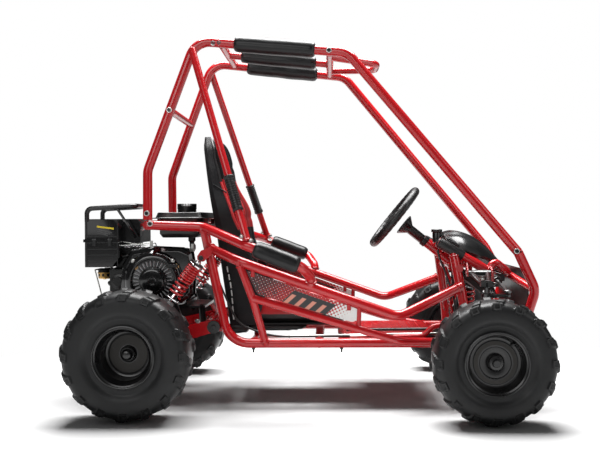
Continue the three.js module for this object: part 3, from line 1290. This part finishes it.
// Engine: crankcase, finned cylinder laid to the rear, head, carburettor, guard bar and clutch drum.
function addEngine() {
  const { rearX, frontX, baseZ, topZ, nearY, farY } = engine;
  const bevel = plate * 4;
  const caseOutline = [
    [rearX, baseZ], [frontX, baseZ], [frontX, topZ - bevel * 2], [frontX - bevel * 2, topZ],
    [rearX + bevel, topZ], [rearX, topZ - bevel],
  ];
  const crankcase = sheet(caseOutline, nearY, farY);
  const feet = block(at(rearX - bevel / 2, nearY - bevel / 2, baseZ - plate / 2 + gap), at(frontX + bevel / 2, farY + bevel / 2, baseZ + plate * 2));
  const cylinder = finnedCylinder();
  const crankEnd = rod(at(crank.x, farY - overrun, crank.z), at(crank.x, axle.sprocketHalf + plate * 6, crank.z), crank.radius, tubeSides);
  const drum = rod(at(crank.x, farY + plate * 4, crank.z), at(crank.x, axle.sprocketHalf - plate * 4, crank.z), crank.radius * 4.6, 10);
  const sprocket = rod(at(crank.x, axle.sprocketHalf - axle.sprocketThick / 2, crank.z),
    at(crank.x, axle.sprocketHalf + axle.sprocketThick / 2, crank.z), chain.driveRadius - chain.thick / 2 - gap, roundSides);
  const filler = rod(at(frontX - bevel * 2, nearY + bevel, topZ - bevel * 1.5), at(frontX + bevel * 0.6, nearY + bevel, topZ + bevel * 0.6),
    bevel * 0.7, tubeSides);
  const bowl = turned([
    [carb.radius, 0], [carb.radius * 1.8, carb.radius * 0.66], [carb.radius * 1.8, carb.radius * 2.3],
    [carb.radius * 1.3, carb.radius * 2.7],
  ], at(carb.x, carb.y, carb.bowlZ), at(0, 0, 1), roundSides);
  const intake = rod(at(carb.x, carb.y, carb.portZ), at(rearX + bevel, carb.y, carb.portZ), carb.radius, tubeSides);
  addMesh('engine_block', cut(join(crankcase, feet, cylinder, crankEnd, drum, sprocket, filler, bowl, intake),
    airBoxSolid(gap), shroudRoom(), cradleRoom()), materials.black);
}

function finnedCylinder() {
  const tilt = engine.headTilt;
  const fins = [];
  const pitch = engine.headLength / engine.finCount;
  for (let fin = 0; fin < engine.finCount; fin += 1) {
    const low = fin * pitch;
    fins.push(block(
      at(low, -engine.headWidth / 2, -engine.headHeight / 2), at(low + pitch * 0.5, engine.headWidth / 2, engine.headHeight / 2)));
  }
  const core = block(
    at(-overrun * 8, -engine.headWidth * 0.4, -engine.headHeight * 0.4), at(engine.headLength, engine.headWidth * 0.4, engine.headHeight * 0.4));
  const cover = block(
    at(engine.headLength - overrun, -engine.headWidth * 0.34, -engine.headHeight * 0.36),
    at(engine.headLength + pitch * 1.6, engine.headWidth * 0.34, engine.headHeight * 0.36));
  return join(core, cover, fins).rotate([0, tilt - 180, 0]).translate([engine.rearX + plate * 6, (engine.nearY + engine.farY) / 2, engine.baseZ + engine.headLift]);
}

// Space taken by the fan shroud, so the block stays behind its back edge.
function shroudRoom() {
  return block(at(-wheelbase, -wheelbase, 0), at(wheelbase, engine.nearY, wheelbase));
}

// Space below the engine's foot plate.
function cradleRoom() {
  return block(at(-wheelbase, -wheelbase, 0), at(wheelbase, wheelbase, swing.plateZ + plate * 2 + gap));
}

// Recoil shroud: a round pressed housing with a skirt, radial slots and a raised starter cap.
function addShroud() {
  const { radius, depth, capRadius, capDepth, faceRadius } = shroud;
  const base = at(crank.x, engine.nearY - gap, crank.z);
  const out = at(0, -1, 0);
  const dome = turned([
    [radius, 0], [radius, depth * 0.45], [faceRadius * 1.12, depth * 0.82], [faceRadius, depth], [capRadius * 1.2, depth],
    [capRadius, depth + capDepth], [capRadius * 0.9, depth + capDepth],
  ], base, out, 20);
  const skirt = sheet([
    [crank.x - radius * 1.45, crank.z - radius * 0.55], [crank.x + radius, crank.z - radius * 0.8],
    [crank.x + radius * 1.02, crank.z + radius * 0.5], [crank.x + radius * 0.4, crank.z + radius],
    [crank.x - radius * 1.1, crank.z + radius * 0.74], [crank.x - radius * 1.45, crank.z + radius * 0.3],
  ], base.y - depth * 0.4, base.y);
  const slots = [];
  for (let slot = 0; slot < shroud.slotCount; slot += 1) {
    const angle = 360 * slot / shroud.slotCount;
    const cutter = block(
      at(shroud.slotInner, -overrun - plate * 2, -shroud.slotWidth / 2), at(shroud.slotOuter, plate * 3, shroud.slotWidth / 2));
    slots.push(cutter.rotate([0, shroud.slotLean, 0]).rotate([0, angle, 0]).translate([crank.x, base.y - depth, crank.z]));
  }
  const room = airBoxSolid(gap);
  const handle = handleSolid(gap);
  addMesh('recoil_shroud', cut(join(dome, skirt), slots, room, handle), materials.black);
}

// The pull handle sits in a notch at the top of the starter cap.
function handlePlace() {
  return at(crank.x + shroud.faceRadius * 0.86, engine.nearY - shroud.depth * 0.9, crank.z + shroud.faceRadius * 0.62);
}

function handleSolid(grow) {
  const place = handlePlace();
  const bar = block(
    at(place.x - plate * 4 - grow, place.y - plate * 2 - grow, place.z - plate - grow),
    at(place.x + plate * 4 + grow, place.y + plate * 2 + grow, place.z + plate * 1.5 + grow));
  return bar;
}

function addPullHandle() {
  addMesh('pull_handle', handleSolid(0), materials.plastic);
}

function airBoxSolid(grow) {
  const { rearX, frontX, baseZ, topZ, nearY, farY, sideX, sideBaseZ } = airBox;
  const slope = (topZ - baseZ) / 5;
  const main = sheet([
    [rearX - grow, baseZ - grow], [frontX - slope * 0.8, baseZ - grow], [frontX + grow, baseZ + slope],
    [frontX + grow, topZ - slope * 0.7], [frontX - slope * 0.7, topZ + grow], [rearX - grow, topZ + grow],
  ], nearY - grow, farY + grow);
  const side = sheet([
    [frontX - slope, sideBaseZ - grow], [sideX + grow, sideBaseZ - grow], [sideX + grow, topZ - slope * 0.5],
    [sideX - slope * 0.4, topZ + grow], [frontX - slope, topZ + grow],
  ], nearY + slope * 1.6 - grow, farY + grow);
  return join(main, side);
}

function addAirBox() {
  const { rearX, baseZ, topZ, nearY, farY } = airBox;
  const band = block(at(rearX - plate, nearY - plate, baseZ + (topZ - baseZ) * 0.52), at(rearX + overrun, farY + plate, baseZ + (topZ - baseZ) * 0.58));
  const lip = block(at(rearX - plate, nearY - plate, baseZ + (topZ - baseZ) * 0.52), at(airBox.frontX, nearY + overrun, baseZ + (topZ - baseZ) * 0.58));
  const rearY = guard.centreY - guard.half;
  const bar = tube([
    at(guard.rearX, rearY, topZ - plate), at(guard.rearX, rearY, guard.topZ), at(guard.frontX, rearY, guard.topZ + plate * 2),
    at(guard.frontX, rearY + 2 * guard.half, guard.topZ + plate * 2), at(guard.rearX, rearY + 2 * guard.half, guard.topZ),
    at(guard.rearX, rearY + 2 * guard.half, topZ - plate),
  ], rodTube, smallBend);
  const stay = rod(at(guard.stayX, rearY, guard.topZ), at(airBox.sideX - plate * 2, rearY + plate * 4, airBox.sideBaseZ + plate * 4), rodTube * 0.6);
  addMesh('air_box', join(airBoxSolid(0), band, lip, bar, stay), materials.plastic);
}

// Chain: a closed run of waisted links round the two sprockets.
function addChain() {
  const drive = { x: crank.x, z: crank.z, radius: chain.driveRadius };
  const driven = { x: 0, z: tyres.rear.radius, radius: axle.sprocketRadius };
  const apart = Math.hypot(drive.x - driven.x, drive.z - driven.z);
  const lean = Math.atan2(drive.z - driven.z, drive.x - driven.x);
  const wrap = Math.acos((driven.radius - drive.radius) / apart);
  const outerOutline = [];
  const innerOutline = [];
  const clear = chain.thick / 4 + gap;
  const arc = (wheelEnd, from, to, count) => {
    for (let i = 0; i <= count; i += 1) {
      const angle = THREE.MathUtils.lerp(from, to, i / count);
      const push = (outline, radius) => outline.push([
        wheelEnd.x + radius * Math.cos(angle), wheelEnd.z + radius * Math.sin(angle)]);
      const swell = i % 2 === 0 ? 0 : chain.thick / 5;
      push(outerOutline, wheelEnd.radius + clear + chain.thick / 2 + swell);
      push(innerOutline, wheelEnd.radius + clear);
    }
  };
  arc(driven, lean + wrap, lean + 2 * Math.PI - wrap, 20);
  arc(drive, lean - wrap, lean + wrap, 10);
  const holePath = new THREE.Path(innerOutline.map(([x, z]) => new THREE.Vector2(x, z)));
  addMesh('drive_chain', sheet(outerOutline, axle.sprocketHalf - chain.width / 2, axle.sprocketHalf + chain.width / 2, [holePath]),
    materials.steel);
}

// Fuel tank: a pressed lower half, a seam flange resting on two cross tubes, and a shallow top with its neck.
function roundedRect(centreX, halfX, halfY, corner) {
  const shape = new THREE.Shape();
  const points = [];
  [[1, 1], [-1, 1], [-1, -1], [1, -1]].forEach(([x, y], quarter) => {
    for (let step = 0; step <= 2; step += 1) {
      const angle = Math.PI / 2 * (quarter + step / 2);
      points.push(new THREE.Vector2(
        centreX + x * (halfX - corner) + corner * Math.cos(angle), y * (halfY - corner) + corner * Math.sin(angle)));
    }
  });
  shape.setFromPoints(points);
  return points;
}

function addTank() {
  const ring = (halfX, halfY, z) => roundedRect(tank.x, halfX, halfY, tank.corner).map((corner) => at(corner.x, corner.y, z));
  const flat = (halfX, halfY) => roundedRect(tank.x, halfX, halfY, tank.corner);
  const lowHalf = tank.lowerLength / 2;
  const topHalf = tank.length / 2;
  const flangeTop = tank.z + tank.seam;
  const body = loft([
    ring(lowHalf * 0.9, tank.lowerHalf * 0.94, tank.z - tank.lowerDepth), ring(lowHalf, tank.lowerHalf, tank.z - tank.lowerDepth * 0.8),
    ring(lowHalf, tank.lowerHalf, tank.z), ring(topHalf, tank.half, tank.z), ring(topHalf, tank.half, flangeTop),
    ring(topHalf - tank.seam * 3, tank.half - tank.seam * 3, flangeTop),
    ring(topHalf - tank.seam * 5, tank.half - tank.seam * 5, flangeTop + tank.upperHeight),
  ], [flat(lowHalf * 0.9, tank.lowerHalf * 0.94), flat(topHalf - tank.seam * 5, tank.half - tank.seam * 5)]);
  const top = flangeTop + tank.upperHeight;
  const neck = rod(at(tank.x, 0, top - overrun), at(tank.x, 0, top + tank.neckHeight), tank.neckRadius, 12);
  const tap = turned([[plate * 2, 0], [plate * 2, plate * 4], [plate * 3, plate * 5], [plate * 3, plate * 9]],
    at(tank.x + lowHalf * 0.4, -tank.lowerHalf * 0.4, tank.z - tank.lowerDepth - plate * 8), at(0, 0, 1), 8);
  addMesh('fuel_tank', join(body, neck, tap), materials.black);
  const cap = turned([
    [tank.capRadius, 0], [tank.capRadius, tank.capHeight * 0.8], [tank.capRadius * 0.9, tank.capHeight],
  ], at(tank.x, 0, top + gap), at(0, 0, 1), 14);
  const neckRoom = rod(at(tank.x, 0, top), at(tank.x, 0, top + tank.neckHeight + gap), bored(tank.neckRadius, 12), 12);
  addMesh('fuel_cap', cut(cap, neckRoom), materials.plastic);
}

// Hood over the column: a crowned shell open underneath, deeper at the rear.
function addHood() {
  const archShares = [[-1, 0], [-0.94, 0.5], [-0.7, 0.86], [-0.36, 1], [0.36, 1], [0.7, 0.86], [0.94, 0.5], [1, 0]];
  const outlines = hood.rowShares.map((share) => {
    const half = hood.half * share.half;
    const height = hood.height * (share.top - share.low);
    const outer = archShares.map(([y, z]) => new THREE.Vector2(y * half, z * height));
    const inner = archShares.slice().reverse().map(([y, z]) => new THREE.Vector2(
      y * (half - hood.wall), z * (height - hood.wall)));
    return [...outer, ...inner];
  });
  const rings = hood.rowShares.map((share, row) => outlines[row].map((corner) => at(
    front(hood.length * share.along - hood.startBehind), corner.x, hood.baseZ + hood.height * share.low + corner.y)));
  const shell = loft(rings, [outlines[0], outlines[outlines.length - 1]]);
  addMesh('hood', cut(shell, frontTubes(right, gap), frontTubes(left, gap)), materials.plastic);
}

function addNosePanel() {
  const top = dash.dipZ + slimTube;
  const low = nose.kickZ + mainTube * 2;
  const half = nose.bowHalf - mainTube - 3 * gap;
  const face = nose.bowAhead - mainTube;
  const panel = block(at(front(face - plate), -half * 0.96, low), at(front(face), half * 0.96, top));
  addMesh('nose_panel', cut(panel, frontTubes(right, gap), frontTubes(left, gap)), materials.plastic);
}

// Hanging pedals: a collar on the cross tube, a bent arm and a pierced plate.
function addPedals() {
  [['brake_pedal', left], ['throttle_pedal', right]].forEach(([name, side]) => {
    const x = front(-pedal.behind);
    const y = side * pedal.apart;
    const collar = turned([
      [bored(slimTube, boreSides), 0], [pedal.radius, 0], [pedal.radius, pedal.width * 0.5],
      [bored(slimTube, boreSides), pedal.width * 0.5],
    ], at(x, y - pedal.width / 4, pedal.z), at(0, 1, 0), boreSides, true);
    const stem = tube([
      at(x, y, pedal.z - pedal.radius + gap * 4), at(x + pedal.radius, y, pedal.z - pedal.length * 0.5),
      at(x - pedal.radius * 0.4, y, pedal.z - pedal.length),
    ], rodTube * 0.8, smallBend, 6);
    const face = sheetPierced(x - pedal.radius * 0.6, y, pedal.z - pedal.length);
    addMesh(name, join(collar, stem, face), materials.red);
  });
}

function sheetPierced(x, y, z) {
  const half = pedal.width / 2;
  const outline = [[-half, -pedal.height / 2], [half, -pedal.height / 2], [half, pedal.height / 2], [-half, pedal.height / 2]];
  const holes = [];
  for (let row = -1; row <= 1; row += 1) {
    for (let place = -1; place <= 1; place += 1) {
      if (place !== 0 || row !== 0) {
        holes.push(hole(place * half * 0.6, row * pedal.height * 0.3, plate * 1.4, 6));
      }
    }
  }
  return sheet(outline, -plate / 2, plate / 2, holes).rotate([0, 0, 90]).rotate([0, -12, 0]).translate([x, y, z]);
}

addMainFrame();
addFrontFrame();
addHoops();
addRoofFrame();
addBraces();
addPads();
addSidePanels();
addSeat();
addFrontWheels();
addRearWheels();
addFrontArms();
addKingpins();
addKnuckles();
addFrontShocks();
addSteering();
addTieRods();
addSwingArm();
addRearAxle();
addRearShocks();
addEngine();
addShroud();
addPullHandle();
addAirBox();
addChain();
addTank();
addHood();
addNosePanel();
addPedals();

// The origin is the middle of the kart's base.
const box = new THREE.Box3().setFromObject(kart);
const middle = box.getCenter(new THREE.Vector3());
const assembly = new THREE.Group();
kart.position.set(-middle.x, -middle.y, -box.min.z);
assembly.add(kart);

export default assembly;
